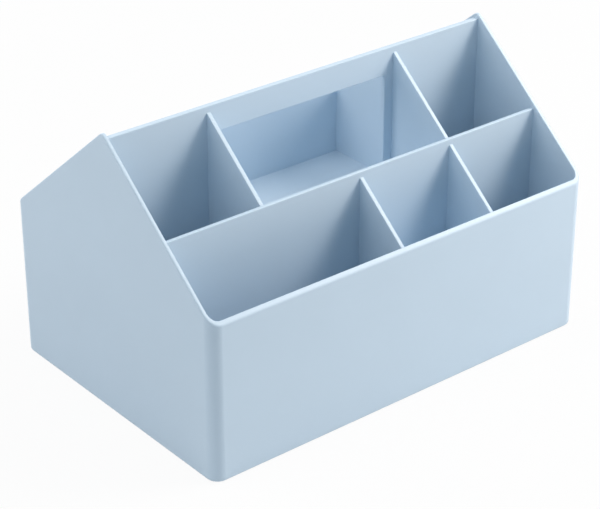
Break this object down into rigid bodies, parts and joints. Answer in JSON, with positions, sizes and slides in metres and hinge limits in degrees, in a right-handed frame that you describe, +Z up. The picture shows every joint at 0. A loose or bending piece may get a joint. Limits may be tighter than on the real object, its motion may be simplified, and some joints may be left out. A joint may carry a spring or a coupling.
{
  "type": "tool box",
  "caption": "Open house-shaped tool box of matt plastic, with a carrying handle cut in its ridge wall, stepped rows of compartments and a raised floor under the handle.",
  "frame": {"origin": "middle of the flat underside", "axes": "+X along the ridge and handle bar, -Y out of the front wall that the picture shows, +Z up"},
  "size_m": [0.33, 0.225, 0.2088],
  "materials": {
    "shell_plastic": "fine matt moulded texture, pale blue",
    "wall_plastic": "fine matt moulded texture, pale blue",
    "floor_plastic": "fine matt moulded texture, pale blue"
  },
  "bodies": {
    "root": {"outer_shell": "shell_plastic", "ridge_wall": "wall_plastic", "front_long_wall": "wall_plastic", "back_long_wall": "wall_plastic", "front_upper_left_divider": "wall_plastic", "front_upper_right_divider": "wall_plastic", "back_upper_left_divider": "wall_plastic", "back_upper_right_divider": "wall_plastic", "front_lower_middle_divider": "wall_plastic", "front_lower_right_divider": "wall_plastic", "back_lower_middle_divider": "wall_plastic", "back_lower_left_divider": "wall_plastic", "niche_floor": "floor_plastic", "front_shallow_floor": "floor_plastic", "back_shallow_floor": "floor_plastic"}
  },
  "joints": []
}
